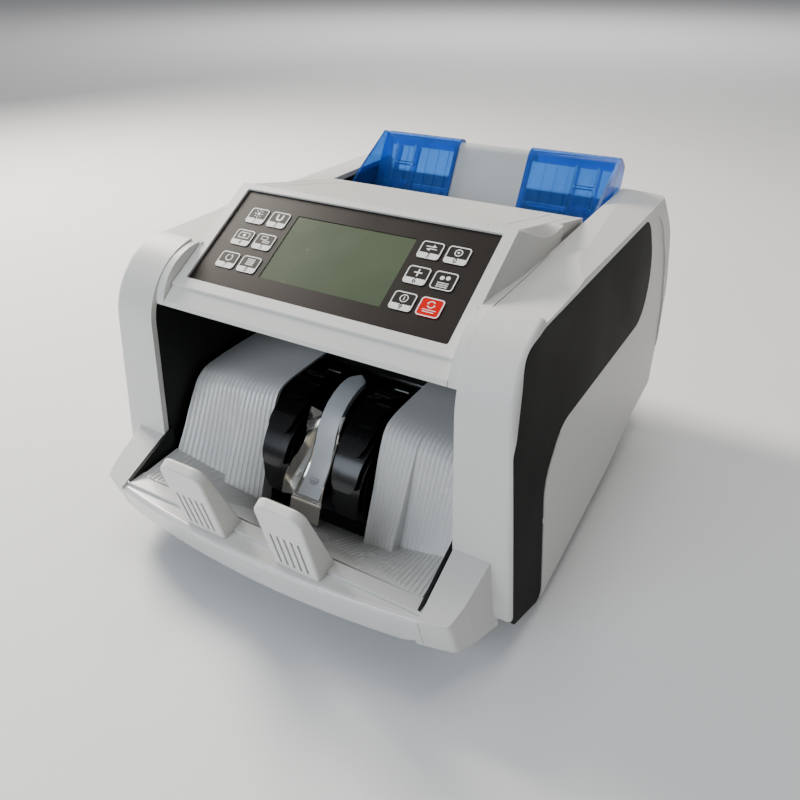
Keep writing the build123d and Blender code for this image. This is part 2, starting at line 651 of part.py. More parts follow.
# ---- chassis ------------------------------------------------------------------------
def base_pan():
    """Folded steel pan that everything inside is bolted to."""
    skin = side_face([(-149.6, 26.6), (-128, 25.4), (-85, FOOT_H), (128, FOOT_H), (143, 22), (143, 35.6),
                      (141.4, 35.6), (141.4, 22.6), (127.3, FOOT_H + 1.6), (-84.6, FOOT_H + 1.6), (-127.6, 27),
                      (-149.6, 28.2)])
    pan = along_x(skin, -101, 101)
    flank = side_face([(-120, 24.5), (-85, FOOT_H), (128, FOOT_H), (143, 22), (143, 34), (100, 32), (40, 25),
                       (-110, 26)])
    return pan + both(along_x(flank, 99.6, 101))


def feet():
    pads = []
    for x in (-86, 86):
        for y in (-70, 114):
            pad = Pos(x, y, FOOT_H / 2) * Cylinder(9, FOOT_H)
            pad = fillet(pad.edges().group_by(Axis.Z)[0], 1.0)
            pads.append(pad)
    return Compound(children=pads)


def side_frame(side):
    """Steel side frame with the holes that hold the shaft bushes."""
    face = side_face([(-112, 34), (-84, 16), (56, 26), (130, 42), (150, 68), (150, 140), (118, 172), (60, 172),
                      (40, 140), (-96, 140), (-112, 120)])
    plate = along_x(face, FRAME_X, FRAME_X + FRAME_T)
    for centre in (TRANSPORT, PINCH, FEED, PICKUP, IMPELLER):
        plate -= rod(centre, BUSH_R, 90, 120)
    plate -= rod(rail_centre(), RAIL_R, 90, 120)
    if side > 0:
        plate -= rod(MOTOR, 8.5, 90, 120)
    return handed(plate, side)


def shaft_bushes():
    parts = []
    for centre in (TRANSPORT, PINCH, FEED, PICKUP, IMPELLER):
        right = ring(centre, BUSH_R, SHAFT_R + RUN_FIT, FRAME_X - 1.2, FRAME_X + FRAME_T + 0.2)
        parts += [right, mirror(right, about=Plane.YZ)]
    return Compound(children=parts)


def tie_rods():
    return Compound(children=[rod(place, TIE_ROD_R, -FRAME_X, FRAME_X) for place in TIE_RODS])


def shaft(centre, x0, x1):
    return rod(centre, SHAFT_R, x0, x1)


def tyres(centre, radius, places, width):
    """Rubber tyres along a shaft."""
    return [ring(centre, radius, SHAFT_R, x - width / 2, x + width / 2) for x in places]


def pulley(centre, radius, x0, x1):
    """Flanged pulley, bored for the shaft."""
    body = ring(centre, radius, SHAFT_R, x0, x1)
    body += ring(centre, radius + 1.6, SHAFT_R, x0 - 1, x0)
    body += ring(centre, radius + 1.6, SHAFT_R, x1, x1 + 1)
    return body


def belt(circles, x0, x1):
    """Flat belt in tension round two or more pulleys, given as ((y, z), radius)."""
    def loop(extra):
        rims = [Pos(y, z) * Circle(radius + extra) for (y, z), radius in circles]
        hull = make_hull([edge for rim in rims for edge in rim.edges()])
        return along_x(Plane.YZ * hull, x0, x1)
    return loop(1.7) - loop(0.3)


DRIVE_R = 12.5
MOTOR_R = 7.0
IMPELLER_PULLEY_R = 20.0
LINK_R = 8.0


def motor():
    can = rod(MOTOR, MOTOR_CAN_R, 44, FRAME_X)
    can = fillet(can.edges().group_by(Axis.X)[0], 3)
    can += rod(MOTOR, 8, FRAME_X, FRAME_X + 1.6)
    for angle in (45, 135, 225, 315):
        y = MOTOR[0] + 19 * cos(radians(angle))
        z = MOTOR[1] + 19 * sin(radians(angle))
        can -= rod((y, z), 1.5, 96, 110)
    can -= rod(MOTOR, 3.0 + RUN_FIT, 80, 110)
    return can


def motor_pulley():
    spindle = rod(MOTOR, 3.0, 82, 113.8)
    body = rod(MOTOR, MOTOR_R, 108, 113) + rod(MOTOR, MOTOR_R + 1.6, 107, 108) + rod(MOTOR, MOTOR_R + 1.6, 113, 114)
    return spindle + body


def sensor_bar(low_y, low_z):
    bar = block(-88, 88, low_y, low_y + 9, low_z, low_z + 6)
    for x in (-60, -20, 20, 60):
        bar -= block(x - 6, x + 6, low_y + 2, low_y + 7, low_z - 1, low_z + 1.2)
    return bar


def retard_shoe():
    """Rubber-faced block that lets one note through at a time, hung under the console."""
    face = side_face([(34, 121.6), (50, 121.6), (52, 128), (48, 146), (38, 146), (32, 128)])
    return Compound(children=[along_x(face, x - 6, x + 6) for x in (-32, 32)])


def retard_bar():
    """Cross bar that holds the retard shoes."""
    return block(-96.4, 96.4, 37, 49, 146, 149.6)


def main_board():
    board = block(-88, 20, 44, 84, 20, 21.6)
    for x, y, w, d, h in ((-70, 56, 14, 14, 3), (-40, 64, 22, 12, 4), (-8, 56, 10, 16, 9), (6, 72, 12, 8, 7)):
        board += block(x - w / 2, x + w / 2, y - d / 2, y + d / 2, 21.6, 21.6 + h)
    for x in (-84, 16):
        for y in (48, 80):
            board += Pos(x, y, (FOOT_H + 1.6 + 20) / 2) * Cylinder(2.5, 20 - FOOT_H - 1.6)
    return board


def power_supply():
    core = block(-86, -40, 90, 124, FOOT_H + 1.6, 52)
    coil = block(-80, -46, 86, 128, 16, 44)
    return core + coil


# ---- rear ---------------------------------------------------------------------------
INLET_X = -62.0
SWITCH_X = -30.0
SOCKET_X = 8.0
KNOB_X = 52.0


def rear_cover():
    """Rear shell between the side covers, with vents and the connector openings."""
    outer = cover_outline(3.0)
    inner = cover_outline(6.0)
    shell = along_x(outer, -94.6, 94.6) - along_x(inner, -100, 100)
    shell &= block(-94.6, 94.6, 139.5, 200, 36, 171)
    shell -= rear_block(INLET_X, 0, 28.4, 20.4, -9, 9)
    shell -= rear_block(SWITCH_X, 0, 10.4, 16.4, -9, 9)
    shell += rear_block(SWITCH_X, 0, 14, 20, -10, 1.2) - rear_block(SWITCH_X, 0, 10.4, 16.4, -12, 9)
    shell -= extrude(rear_plane(-9) * (Pos(-SOCKET_X, 0, 0) * Circle(4.6)), amount=18)
    shell -= extrude(rear_plane(-9) * (Pos(-KNOB_X, 0, 0) * Circle(3.2)), amount=18)
    for row in range(5):
        z = 122 + row * 7
        shell -= block(-60, -6, 130, 200, z, z + 2.6)
        shell -= block(6, 60, 130, 200, z, z + 2.6)
    return shell


def power_inlet():
    """Three-pin mains inlet."""
    body = rear_block(INLET_X, 0, 28, 20, -16, 0.2) + rear_block(INLET_X, 0, 31, 23, 0.2, 1.6)
    body -= rear_block(INLET_X, 0, 23, 15, -12, 3)
    for x, v in ((-7, -2), (0, 2), (7, -2)):
        body += rear_block(INLET_X + x, v, 2, 4, -13, -3)
    return body


def switch_rocker():
    """Rocker with a shallow V face, shown with its lower half pressed."""
    plane = Plane(origin=(SWITCH_X - 4.9, 0, 0) + Vector(0, *rear_point(0, -3)), x_dir=rear_plane().y_dir,
                  z_dir=(1, 0, 0))
    points = [(-7.2, -2.2), (-7.4, 2.0), (0, 2.6), (7.4, 5.4), (7.2, -1.0), (2, -3.0), (-2, -3.0)]
    outline = make_face(Polyline(*points, close=True))
    return extrude(plane * outline, amount=9.8)


def rear_point(v, depth):
    """(y, z) of a point on the rear band."""
    point = (rear_plane(depth) * Pos(0, v, 0)).position
    return (point.Y, point.Z)


def display_socket():
    """Round socket for a customer display."""
    body = extrude(rear_plane(-12) * (Pos(-SOCKET_X, 0, 0) * Circle(4.3)), amount=12.6)
    body += extrude(rear_plane(0.2) * (Pos(-SOCKET_X, 0, 0) * Circle(6.2)), amount=1.2)
    body -= extrude(rear_plane(-9) * (Pos(-SOCKET_X, 0, 0) * Circle(3.2)), amount=12)
    return body


def gap_knob():
    """Knob that sets the feed gap for the note's thickness."""
    grip = extrude(rear_plane(0.8) * (Pos(-KNOB_X, 0, 0) * Circle(8.6)), amount=5.6)
    for step in range(12):
        angle = radians(30 * step)
        place = Pos(-KNOB_X + 9.0 * cos(angle), 9.0 * sin(angle), 0)
        grip -= extrude(rear_plane(0) * (place * Circle(1.3)), amount=12)
    return grip + extrude(rear_plane(-14) * (Pos(-KNOB_X, 0, 0) * Circle(3.0)), amount=16)


def screws_group():
    """Screws under the base, and the one in the centre bracket."""
    screws = []
    for x in (-92, 92):
        for y in (-40, 90):
            head = Pos(x, y, FOOT_H - 0.9) * Cylinder(3.0, 1.8)
            head -= Pos(x, y, FOOT_H - 1.6) * Box(4.6, 0.8, 1.2)
            screws.append(head)
    return Compound(children=screws + [bracket_screw()])


# ---- all nodes ----------------------------------------------------------------------
ROLLER_X = (-62, -32, 32, 62)
nodes = {}
for name, side in SIDES.items():
    nodes[f"{name}_side_cover"] = side_cover(side)
    nodes[f"stacker_plate_{name}"] = stacker_plate(side)
    nodes[f"impeller_{name}"] = impeller(side)
    nodes[f"hopper_guide_{name}"] = hopper_guide(side)
nodes["side_inserts"] = pair(side_insert)
nodes["inner_walls"] = pair(inner_wall)
nodes["side_frames"] = pair(side_frame)
nodes["stop_posts"] = pair(stop_post)
for key, (u, v) in key_places().items():
    nodes[key] = key_pad(u, v)
nodes["head_housing"] = head_housing()
nodes["head_top_lid"] = head_top_lid()
nodes["lid_hinge_pins"] = lid_hinge_pins()
nodes["note_guides"] = note_guides()
nodes["keypad_overlay"] = keypad_overlay()
nodes["display_module"] = display_module()
nodes["display_board"] = display_board()
nodes["stacker_tray"] = stacker_tray()
nodes["centre_bracket"] = centre_bracket()
nodes["centre_finger"] = centre_finger()
nodes["impeller_shaft"] = shaft(IMPELLER, -117, 108) + pulley(IMPELLER, IMPELLER_PULLEY_R, -115, -111)
nodes["transport_rollers"] = Compound(children=[
    shaft(TRANSPORT, -117, 121) + pulley(TRANSPORT, LINK_R, -115, -111) + pulley(TRANSPORT, DRIVE_R, 108, 113)
    + pulley(TRANSPORT, DRIVE_R, 115.5, 119), *tyres(TRANSPORT, 12, ROLLER_X, 12)])
nodes["pinch_rollers"] = Compound(children=[shaft(PINCH, -108, 108), *tyres(PINCH, 10.4, ROLLER_X, 10)])
nodes["feed_rollers"] = Compound(children=[
    shaft(FEED, -108, 121) + pulley(FEED, DRIVE_R, 115.5, 119), *tyres(FEED, 15.5, (-32, 0, 32), 14)])
nodes["pickup_rollers"] = Compound(children=[
    shaft(PICKUP, -108, 121) + pulley(PICKUP, DRIVE_R, 115.5, 119), *tyres(PICKUP, 13, (-32, 32), 14)])
nodes["retard_shoe"] = retard_shoe()
nodes["retard_bar"] = retard_bar()
nodes["sensor_bars"] = Compound(children=[sensor_bar(16, 118), sensor_bar(16, 90)])
nodes["shaft_bushes"] = shaft_bushes()
nodes["tie_rods"] = tie_rods()
nodes["motor"] = motor()
nodes["motor_pulley"] = motor_pulley()
nodes["drive_belts"] = Compound(children=[
    belt([(MOTOR, MOTOR_R), (TRANSPORT, DRIVE_R)], 108.4, 112.6),
    belt([(TRANSPORT, DRIVE_R), (FEED, DRIVE_R), (PICKUP, DRIVE_R)], 115.8, 118.7),
    belt([(TRANSPORT, LINK_R), (IMPELLER, IMPELLER_PULLEY_R)], -114.7, -111.3)])
nodes["main_board"] = main_board()
nodes["power_supply"] = power_supply()
nodes["guide_rail"] = guide_rail()
nodes["hopper_back_plate"] = hopper_back_plate()
nodes["hopper_floor"] = hopper_floor()
nodes["rear_cover"] = rear_cover()
nodes["power_inlet"] = power_inlet()
nodes["switch_rocker"] = switch_rocker()
nodes["display_socket"] = display_socket()
nodes["gap_knob"] = gap_knob()
nodes["base_pan"] = base_pan()
nodes["feet"] = feet()
nodes["screws"] = screws_group()

for name, part in nodes.items():
    save(name, part)
whole = Compound(children=[Compound(part.solids()) for part in nodes.values()]).bounding_box()
print(len(nodes), "nodes, box", whole.min, whole.max)
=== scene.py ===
import json
import math

import bmesh
import bpy
import numpy as np
from mathutils import Matrix, Vector


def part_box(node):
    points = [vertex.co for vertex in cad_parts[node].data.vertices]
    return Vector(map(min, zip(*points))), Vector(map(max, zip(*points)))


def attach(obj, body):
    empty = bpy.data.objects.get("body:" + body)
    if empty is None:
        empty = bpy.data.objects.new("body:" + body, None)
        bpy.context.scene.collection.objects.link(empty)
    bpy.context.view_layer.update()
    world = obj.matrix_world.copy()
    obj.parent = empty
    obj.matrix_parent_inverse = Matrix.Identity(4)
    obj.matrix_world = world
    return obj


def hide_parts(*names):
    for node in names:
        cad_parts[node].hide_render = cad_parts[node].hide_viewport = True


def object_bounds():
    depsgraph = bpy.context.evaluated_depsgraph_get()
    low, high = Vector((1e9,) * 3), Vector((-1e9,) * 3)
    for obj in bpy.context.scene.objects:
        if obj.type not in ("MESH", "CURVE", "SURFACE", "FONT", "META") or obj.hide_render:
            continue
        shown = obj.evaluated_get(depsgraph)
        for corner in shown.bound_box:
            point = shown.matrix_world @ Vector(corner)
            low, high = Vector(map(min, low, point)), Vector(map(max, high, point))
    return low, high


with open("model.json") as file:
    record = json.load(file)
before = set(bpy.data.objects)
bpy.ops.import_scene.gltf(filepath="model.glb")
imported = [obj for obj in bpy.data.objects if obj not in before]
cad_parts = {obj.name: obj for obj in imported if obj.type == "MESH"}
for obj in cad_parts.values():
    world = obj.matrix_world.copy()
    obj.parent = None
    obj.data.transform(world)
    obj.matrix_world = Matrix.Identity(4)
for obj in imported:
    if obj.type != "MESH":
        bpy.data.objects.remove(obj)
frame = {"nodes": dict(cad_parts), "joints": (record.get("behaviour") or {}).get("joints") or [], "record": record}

MM = 0.001
CAD_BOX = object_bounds()
NODES = frame["nodes"]
JOINTS = {joint["name"]: joint for joint in frame["joints"]}
SLOT_OF = {part["node"]: part["material_slot"] for part in frame["record"]["subparts"]}
BODY_OF = {node: body for body, members in frame["record"]["behaviour"]["bodies"].items() for node in members}


# ---- materials ----------------------------------------------------------------------
def new_material(name):
    """Material with an empty tree, its output and its principled shader."""
    material = bpy.data.materials.new(name)
    material.use_nodes = True
    tree = material.node_tree
    tree.nodes.clear()
    output = tree.nodes.new("ShaderNodeOutputMaterial")
    shader = tree.nodes.new("ShaderNodeBsdfPrincipled")
    tree.links.new(shader.outputs["BSDF"], output.inputs["Surface"])
    return material, tree, shader


def object_coords(tree, stretch=(1, 1, 1)):
    """Object coordinates in metres, optionally stretched."""
    coords = tree.nodes.new("ShaderNodeTexCoord")
    mapping = tree.nodes.new("ShaderNodeMapping")
    mapping.inputs["Scale"].default_value = stretch
    tree.links.new(coords.outputs["Object"], mapping.inputs["Vector"])
    return mapping.outputs["Vector"]


def noise(tree, vector, scale, detail=3.0, roughness=0.55):
    """Noise value at a scale per metre."""
    node = tree.nodes.new("ShaderNodeTexNoise")
    node.inputs["Scale"].default_value = scale
    node.inputs["Detail"].default_value = detail
    node.inputs["Roughness"].default_value = roughness
    tree.links.new(vector, node.inputs["Vector"])
    return node.outputs["Fac"]


def ramp(tree, factor, stops):
    """Colour ramp from (position, colour) stops."""
    node = tree.nodes.new("ShaderNodeValToRGB")
    elements = node.color_ramp.elements
    while len(elements) < len(stops):
        elements.new(0.5)
    for element, (position, colour) in zip(elements, stops):
        element.position = position
        element.color = (*colour, 1.0)
    tree.links.new(factor, node.inputs["Fac"])
    return node.outputs["Color"]


def spread(tree, factor, low, high):
    """Maps a 0-1 value between two limits."""
    node = tree.nodes.new("ShaderNodeMapRange")
    node.inputs["From Min"].default_value = 0.3
    node.inputs["From Max"].default_value = 0.7
    node.inputs["To Min"].default_value = low
    node.inputs["To Max"].default_value = high
    tree.links.new(factor, node.inputs["Value"])
    return node.outputs["Result"]


def bump(tree, shader, height, distance, strength=1.0, before=None):
    """Bump of a given depth in metres, on top of another one if given."""
    node = tree.nodes.new("ShaderNodeBump")
    node.inputs["Strength"].default_value = strength
    node.inputs["Distance"].default_value = distance
    tree.links.new(height, node.inputs["Height"])
    if before is not None:
        tree.links.new(before, node.inputs["Normal"])
    tree.links.new(node.outputs["Normal"], shader.inputs["Normal"])
    return node.outputs["Normal"]


def shade(colour, factor):
    """The colour made lighter or darker."""
    return tuple(channel * factor for channel in colour)


def plastic(name, colour, roughness, grain=1400, depth=0.00004, vary=0.05, coat=0.0, gloss=0.5):
    """Moulded plastic: faint colour drift, fine spark-eroded grain, uneven sheen."""
    material, tree, shader = new_material(name)
    vector = object_coords(tree)
    drift = noise(tree, vector, 14, 4)
    speckle = noise(tree, vector, 420, 2)
    mixed = tree.nodes.new("ShaderNodeMix")
    mixed.data_type = "FLOAT"
    mixed.inputs[0].default_value = 0.35
    tree.links.new(drift, mixed.inputs[2])
    tree.links.new(speckle, mixed.inputs[3])
    tint = ramp(tree, mixed.outputs[0], [(0.3, shade(colour, 1 - vary)), (0.7, shade(colour, 1 + vary))])
    tree.links.new(tint, shader.inputs["Base Color"])
    tree.links.new(spread(tree, drift, roughness - 0.05, roughness + 0.06), shader.inputs["Roughness"])
    shader.inputs["Specular IOR Level"].default_value = gloss
    shader.inputs["Coat Weight"].default_value = coat
    shader.inputs["Coat Roughness"].default_value = 0.12
    low = bump(tree, shader, drift, depth * 3, 0.25)
    bump(tree, shader, noise(tree, vector, grain, 2), depth, 0.5, low)
    return material


def metal(name, colour, roughness, stretch=(1, 1, 1), scratch=900, depth=0.00002):
    """Metal with directional grinding marks and a little smudging."""
    material, tree, shader = new_material(name)
    vector = object_coords(tree, stretch)
    lines = noise(tree, vector, scratch, 5, 0.7)
    smudge = noise(tree, object_coords(tree), 60, 4)
    tint = ramp(tree, smudge, [(0.3, shade(colour, 0.88)), (0.7, colour)])
    tree.links.new(tint, shader.inputs["Base Color"])
    shader.inputs["Metallic"].default_value = 1.0
    tree.links.new(spread(tree, lines, roughness * 0.8, roughness * 1.3), shader.inputs["Roughness"])
    bump(tree, shader, lines, depth, 0.4)
    return material


def clear_plastic(name, colour):
    """Tinted clear plastic with faint flow lines."""
    material, tree, shader = new_material(name)
    vector = object_coords(tree)
    flow = noise(tree, object_coords(tree, (1, 1, 0.3)), 40, 4)
    tint = ramp(tree, flow, [(0.3, shade(colour, 0.85)), (0.7, colour)])
    tree.links.new(tint, shader.inputs["Base Color"])
    tree.links.new(spread(tree, noise(tree, vector, 300, 2), 0.06, 0.16), shader.inputs["Roughness"])
    shader.inputs["Transmission Weight"].default_value = 0.8
    shader.inputs["IOR"].default_value = 1.4
    shader.inputs["Specular IOR Level"].default_value = 0.3
    bump(tree, shader, flow, 0.00015, 0.3)
    return material


def display_glass(name, colour):
    """Dark olive display: polariser film over a faint pixel grid, with a few specks."""
    material, tree, shader = new_material(name)
    vector = object_coords(tree)
    drift = noise(tree, vector, 9, 3)
    specks = noise(tree, vector, 260, 1)
    base = ramp(tree, drift, [(0.25, shade(colour, 0.84)), (0.75, shade(colour, 1.12))])
    dots = ramp(tree, specks, [(0.80, (0, 0, 0)), (0.84, (0.25, 0.28, 0.2))])
    add = tree.nodes.new("ShaderNodeMix")
    add.data_type = "RGBA"
    add.blend_type = "ADD"
    add.inputs[0].default_value = 0.5
    tree.links.new(base, add.inputs[6])
    tree.links.new(dots, add.inputs[7])
    tree.links.new(add.outputs[2], shader.inputs["Base Color"])
    shader.inputs["Specular IOR Level"].default_value = 0.2
    tree.links.new(spread(tree, drift, 0.22, 0.34), shader.inputs["Roughness"])
    bump(tree, shader, noise(tree, vector, 2600, 1), 0.00001, 0.3)
    return material


def circuit_board(name, colour):
    """Solder mask with a faint pattern of tracks."""
    material, tree, shader = new_material(name)
    vector = object_coords(tree)
    node = tree.nodes.new("ShaderNodeTexVoronoi")
    node.feature = "DISTANCE_TO_EDGE"
    node.inputs["Scale"].default_value = 220
    tree.links.new(vector, node.inputs["Vector"])
    tint = ramp(tree, node.outputs["Distance"], [(0.03, shade(colour, 1.9)), (0.07, colour)])
    tree.links.new(tint, shader.inputs["Base Color"])
    tree.links.new(spread(tree, noise(tree, vector, 80, 2), 0.25, 0.4), shader.inputs["Roughness"])
    bump(tree, shader, node.outputs["Distance"], 0.00005, 0.4)
    return material


MATERIALS = {
    "housing": plastic("housing", (0.66, 0.655, 0.625), 0.42, 1600, 0.00004, 0.03),
    "dark_insert": plastic("dark_insert", (0.0075, 0.0066, 0.0058), 0.66, 1300, 0.00006, 0.2, gloss=0.13),
    "black_plastic": plastic("black_plastic", (0.005, 0.005, 0.005), 0.55, 1500, 0.00004, 0.25, gloss=0.25),
    "white_plastic": plastic("white_plastic", (0.66, 0.655, 0.64), 0.24, 1000, 0.00002, 0.04, 0.35),
    "grey_plastic": plastic("grey_plastic", (0.44, 0.455, 0.47), 0.36, 1500, 0.00003, 0.04),
    "black_gloss": plastic("black_gloss", (0.004, 0.004, 0.0045), 0.24, 700, 0.00002, 0.3, 0.15, 0.4),
    "blue_clear": clear_plastic("blue_clear", (0.06, 0.27, 0.88)),
    "film": plastic("film", (0.0125, 0.009, 0.0078), 0.42, 1900, 0.00002, 0.12, gloss=0.16),
    "key_film": plastic("key_film", (0.012, 0.009, 0.008), 0.42, 1700, 0.00002, 0.15, gloss=0.16),
    "key_red": plastic("key_red", (0.60, 0.002, 0.002), 0.46, 1700, 0.00002, 0.05, gloss=0.05),
    "lcd": display_glass("lcd", (0.080, 0.102, 0.062)),
    "steel": metal("steel", (0.62, 0.62, 0.61), 0.30, (1, 6, 6)),
    "stainless": metal("stainless", (0.62, 0.60, 0.56), 0.09, (4, 1, 1), 700, 0.00001),
    "zinc_steel": metal("zinc_steel", (0.60, 0.61, 0.62), 0.34, (3, 3, 1)),
    "alloy": metal("alloy", (0.78, 0.78, 0.79), 0.28, (8, 1, 1)),
    "bronze": metal("bronze", (0.55, 0.38, 0.18), 0.42, (2, 2, 2)),
    "rubber": plastic("rubber", (0.014, 0.014, 0.014), 0.72, 800, 0.0001, 0.3),
    "motor_can": metal("motor_can", (0.48, 0.49, 0.50), 0.38, (1, 5, 5)),
    "board": circuit_board("board", (0.003, 0.02, 0.009)),
    "power_case": metal("power_case", (0.12, 0.12, 0.13), 0.5, (1, 1, 14)),
    "pan": plastic("pan", (0.10, 0.10, 0.105), 0.55, 900, 0.0001, 0.08),
    "print_white": plastic("print_white", (0.78, 0.78, 0.77), 0.45, 1700, 0.00002, 0.04),
    "print_black": plastic("print_black", (0.012, 0.011, 0.011), 0.45, 1700, 0.00002, 0.1),
}

for node, item in NODES.items():
    item.data.materials.clear()
    item.data.materials.append(MATERIALS[SLOT_OF[node]])


# ---- mesh helpers -------------------------------------------------------------------
def centre_of(node):
    """Middle of a node's box, in metres."""
    low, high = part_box(node)
    return (low + high) / 2


def piece(name, vertices, faces, body, slot, replaced=(), smooth=True, finish=None):
    """Mesh piece from points in the row frame, riding on a body."""
    mesh = bpy.data.meshes.new(name)
    mesh.from_pydata([tuple(v) for v in vertices], [], [tuple(f) for f in faces])
    mesh.update()
    work = bmesh.new()
    work.from_mesh(mesh)
    bmesh.ops.recalc_face_normals(work, faces=work.faces)
    work.to_mesh(mesh)
    work.free()
    return dress(bpy.data.objects.new(name, mesh), body, slot, replaced, smooth, finish)


def dress(item, body, slot, replaced=(), smooth=True, finish=None):
    """Links a mesh object, gives it its material and seats it on a body."""
    if item.name not in bpy.context.scene.collection.objects:
        bpy.context.scene.collection.objects.link(item)
    item.data.materials.clear()
    item.data.materials.append(MATERIALS[finish or slot])
    if smooth:
        item.data.shade_smooth()
        item.data.set_sharp_from_angle(angle=math.radians(32))
    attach(item, body)
    if replaced:
        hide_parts(*replaced)
    return item


def grid_faces(columns, rows, offset=0, flip=False):
    """Quads over a grid of points stored column by column."""
    faces = []
    for i in range(columns - 1):
        for j in range(rows - 1):
            a = offset + i * rows + j
            quad = (a, a + 1, a + rows + 1, a + rows)
            faces.append(quad[::-1] if flip else quad)
    return faces


def smooth_line(points, count):
    """Points along a Catmull-Rom curve through the given points."""
    pts = np.array(points, float)
    pts = np.vstack([2 * pts[0] - pts[1], pts, 2 * pts[-1] - pts[-2]])
    spans = len(pts) - 3
    result = []
    for k in range(count):
        t = k / (count - 1) * spans
        i = min(int(t), spans - 1)
        t -= i
        p0, p1, p2, p3 = pts[i:i + 4]
        result.append(0.5 * (2 * p1 + (p2 - p0) * t + (2 * p0 - 5 * p1 + 4 * p2 - p3) * t ** 2
                             + (3 * p1 - p0 - 3 * p2 + p3) * t ** 3))
    return np.array(result)


def step(value, low, high):
    """Smooth rise from 0 at low to 1 at high."""
    t = min(max((value - low) / (high - low), 0.0), 1.0)
    return t * t * (3 - 2 * t)


# ---- keypad graphics ----------------------------------------------------------------
PANEL_NORMAL = -Vector(JOINTS["key_1_press"]["axis"]).normalized()
PANEL_UP = PANEL_NORMAL.cross(Vector((1, 0, 0))).normalized()
KEY_SIZE = (13.0, 11.3)


def panel_matrix(node, lift):
    """Frame on the top of a flat node of the panel, lifted a little along the panel's normal (mm)."""
    middle = centre_of(node)
    reach = max((Vector(v.co) - middle).dot(PANEL_NORMAL) for v in NODES[node].data.vertices)
    place = Matrix((Vector((1, 0, 0)), PANEL_UP, PANEL_NORMAL)).transposed().to_4x4()
    place.translation = middle + PANEL_NORMAL * (reach + lift * MM)
    return place


def rounded(width, height, radius, u=0.0, v=0.0, corner=6):
    """Outline of a rounded rectangle in mm."""
    points = []
    for quarter, (sx, sy) in enumerate(((1, 1), (-1, 1), (-1, -1), (1, -1))):
        cx = u + sx * (width / 2 - radius)
        cy = v + sy * (height / 2 - radius)
        for k in range(corner + 1):
            angle = math.pi / 2 * (quarter + k / corner)
            points.append((cx + radius * math.cos(angle), cy + radius * math.sin(angle)))
    return points


def circle(radius, u=0.0, v=0.0, count=24):
    """Outline of a circle in mm."""
    return [(u + radius * math.cos(2 * math.pi * k / count), v + radius * math.sin(2 * math.pi * k / count))
            for k in range(count)]


def turned(points, degrees, u=0.0, v=0.0):
    """Outline turned about its own origin, then moved to (u, v)."""
    c, s = math.cos(math.radians(degrees)), math.sin(math.radians(degrees))
    return [(u + x * c - y * s, v + x * s + y * c) for x, y in points]


def bar(length, width, degrees=0.0, u=0.0, v=0.0):
    """Outline of a straight bar centred on (u, v)."""
    half, wide = length / 2, width / 2
    return turned([(-half, -wide), (half, -wide), (half, wide), (-half, wide)], degrees, u, v)


def arc_arrow(radius, width, start, end, u=0.0, v=0.0):
    """Curved arrow as two outlines: the arc and its head."""
    outer, inner = [], []
    for k in range(13):
        angle = math.radians(start + (end - start) * k / 12)
        outer.append((u + (radius + width / 2) * math.cos(angle), v + (radius + width / 2) * math.sin(angle)))
        inner.append((u + (radius - width / 2) * math.cos(angle), v + (radius - width / 2) * math.sin(angle)))
    tip = math.radians(end + (18 if end > start else -18))
    angle = math.radians(end)
    head = [(u + (radius + width * 1.4) * math.cos(angle), v + (radius + width * 1.4) * math.sin(angle)),
            (u + (radius - width * 1.4) * math.cos(angle), v + (radius - width * 1.4) * math.sin(angle)),
            (u + radius * math.cos(tip), v + radius * math.sin(tip))]
    return [outer + inner[::-1], head]


def printed(name, loops, place, body, finish, slot, thickness=0.02):
    """Filled outlines (with holes where they nest), printed on a surface."""
    curve = bpy.data.curves.new(name, "CURVE")
    curve.dimensions = "2D"
    curve.fill_mode = "BOTH"
    curve.extrude = thickness / 2 * MM
    for loop in loops:
        spline = curve.splines.new("POLY")
        spline.points.add(len(loop) - 1)
        for point, (x, y) in zip(spline.points, loop):
            point.co = (x * MM, y * MM, 0, 1)
        spline.use_cyclic_u = True
    return settle(name, curve, place, body, finish, slot)


def digit(name, text, size, u, v, place, body, finish, slot):
    """A numeral, centred on (u, v) in mm."""
    curve = bpy.data.curves.new(name, "FONT")
    curve.body = text
    curve.size = size * MM
    curve.align_x = "CENTER"
    curve.align_y = "CENTER"
    curve.extrude = 0.01 * MM
    curve.offset = 0.09 * MM
    return settle(name, curve, place @ Matrix.Translation((u * MM, v * MM, 0.02 * MM)), body, finish, slot)


def settle(name, curve, place, body, finish, slot):
    """Turns a curve or text into a mesh piece at a place."""
    draft = bpy.data.objects.new(name + "_draft", curve)
    bpy.context.scene.collection.objects.link(draft)
    bpy.context.view_layer.update()
    mesh = bpy.data.meshes.new_from_object(draft.evaluated_get(bpy.context.evaluated_depsgraph_get()))
    bpy.data.objects.remove(draft)
    mesh.transform(place)
    mesh.name = name
    return dress(bpy.data.objects.new(name, mesh), body, slot, smooth=False, finish=finish)


